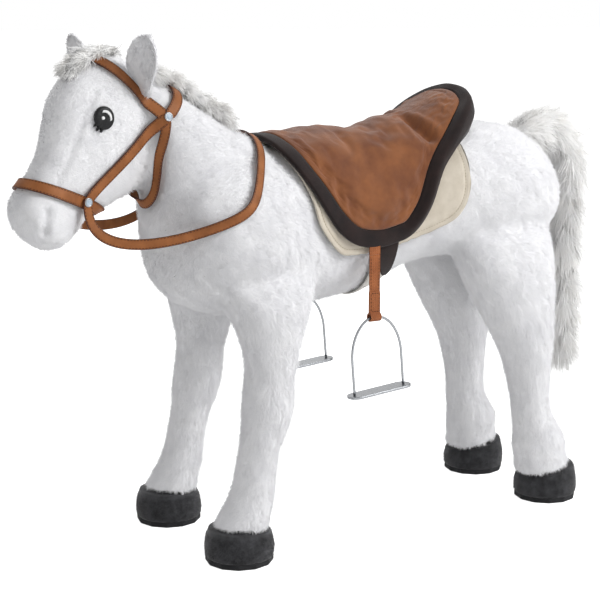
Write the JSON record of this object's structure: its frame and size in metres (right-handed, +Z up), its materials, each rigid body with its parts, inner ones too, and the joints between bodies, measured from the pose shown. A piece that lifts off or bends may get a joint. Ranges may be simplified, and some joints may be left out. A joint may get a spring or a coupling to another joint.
{
  "type": "plush ride-on horse",
  "caption": "Standing white plush horse for a child to sit on, with dark hooves, brown saddle, stirrups, bridle and reins.",
  "frame": {"origin": "on the floor, under the middle of the whole part's length and width", "axes": "+Z up, the horse faces -Y, its own left side is +X"},
  "size_m": [0.33, 1.0119, 0.7537],
  "materials": {
    "white_plush": "short-pile white polyester plush",
    "long_pile": "long white polyester pile",
    "dark_plush": "short-pile charcoal plush, stiff felt under the foot",
    "eye_thread": "satin-stitched black embroidery with a white light",
    "bright_steel": "bright nickel-plated steel",
    "frame_steel": "black-lacquered steel tube",
    "pale_felt": "pale grey-beige felt with a turned and sewn edge",
    "brown_suede": "mid-brown imitation suede over foam",
    "dark_trim": "very dark brown imitation suede",
    "brown_webbing": "orange-brown imitation leather strap",
    "girth_webbing": "pale woven webbing"
  },
  "bodies": {
    "horse": {"trunk": "white_plush", "neck": "white_plush", "head": "white_plush", "mane": "long_pile", "forelock": "long_pile", "frame_spine_tube": "frame_steel", "frame_front_hoop": "frame_steel", "frame_hind_hoop": "frame_steel", "front_left_leg": "white_plush", "front_left_hoof": "dark_plush", "front_left_sole": "dark_plush", "front_left_foot_plate": "frame_steel", "front_right_leg": "white_plush", "front_right_hoof": "dark_plush", "front_right_sole": "dark_plush", "front_right_foot_plate": "frame_steel", "hind_left_leg": "white_plush", "hind_left_hoof": "dark_plush", "hind_left_sole": "dark_plush", "hind_left_foot_plate": "frame_steel", "hind_right_leg": "white_plush", "hind_right_hoof": "dark_plush", "hind_right_sole": "dark_plush", "hind_right_foot_plate": "frame_steel", "saddle_blanket": "pale_felt", "saddle_seat": "brown_suede", "saddle_trim": "dark_trim", "girth": "girth_webbing", "noseband": "brown_webbing", "browband": "brown_webbing", "headpiece": "brown_webbing", "throatlatch": "brown_webbing", "left_ear": "white_plush", "left_eye": "eye_thread", "left_cheekpiece": "brown_webbing", "left_upper_rivet": "bright_steel", "left_lower_rivet": "bright_steel", "left_girth_tab": "dark_trim", "right_ear": "white_plush", "right_eye": "eye_thread", "right_cheekpiece": "brown_webbing", "right_upper_rivet": "bright_steel", "right_lower_rivet": "bright_steel", "right_girth_tab": "dark_trim"},
    "left_tab": {"left_strap_tab": "brown_webbing"},
    "left_strap": {"left_stirrup_strap": "brown_webbing"},
    "left_stirrup": {"left_stirrup_arch": "bright_steel", "left_stirrup_tread": "bright_steel"},
    "right_tab": {"right_strap_tab": "brown_webbing"},
    "right_strap": {"right_stirrup_strap": "brown_webbing"},
    "right_stirrup": {"right_stirrup_arch": "bright_steel", "right_stirrup_tread": "bright_steel"},
    "dock": {"tail_dock": "white_plush"},
    "tail": {"tail": "long_pile"},
    "reins": {"reins": "brown_webbing"}
  },
  "joints": [
    {"name": "left_strap_swing", "type": "hinge", "parent": "horse", "child": "left_tab", "pos_m": [0.10947, 0.027, 0.44608], "axis": [1, 0, 0], "range_deg": [-18, 22]},
    {"name": "left_strap_fold", "type": "hinge", "parent": "left_tab", "child": "left_strap", "pos_m": [0.10947, 0.027, 0.42608], "axis": [0, -1, 0], "range_deg": [0, 75]},
    {"name": "left_stirrup_turn", "type": "hinge", "parent": "left_strap", "child": "left_stirrup", "pos_m": [0.10947, 0.027, 0.33408], "axis": [0, 0.9962, 0.0872], "range_deg": [-50, 50]},
    {"name": "right_strap_swing", "type": "hinge", "parent": "horse", "child": "right_tab", "pos_m": [-0.10947, 0.027, 0.44608], "axis": [1, 0, 0], "range_deg": [-18, 22]},
    {"name": "right_strap_fold", "type": "hinge", "parent": "right_tab", "child": "right_strap", "pos_m": [-0.10947, 0.027, 0.42608], "axis": [0, 1, 0], "range_deg": [0, 75]},
    {"name": "right_stirrup_turn", "type": "hinge", "parent": "right_strap", "child": "right_stirrup", "pos_m": [-0.10947, 0.027, 0.33408], "axis": [0, 0.9962, 0.0872], "range_deg": [-50, 50]},
    {"name": "tail_lift", "type": "hinge", "parent": "horse", "child": "dock", "pos_m": [0, 0.384, 0.574], "axis": [1, 0, 0], "range_deg": [0, 35]},
    {"name": "tail_swing", "type": "hinge", "parent": "dock", "child": "tail", "pos_m": [0, 0.409, 0.599], "axis": [0, 0.7071, 0.7071], "range_deg": [-20, 20]},
    {"name": "reins_lift", "type": "hinge", "parent": "horse", "child": "reins", "pos_m": [0.02007, -0.42051, 0.52711], "axis": [0.9703, 0.2419, 0], "range_deg": [0, 20]}
  ]
}
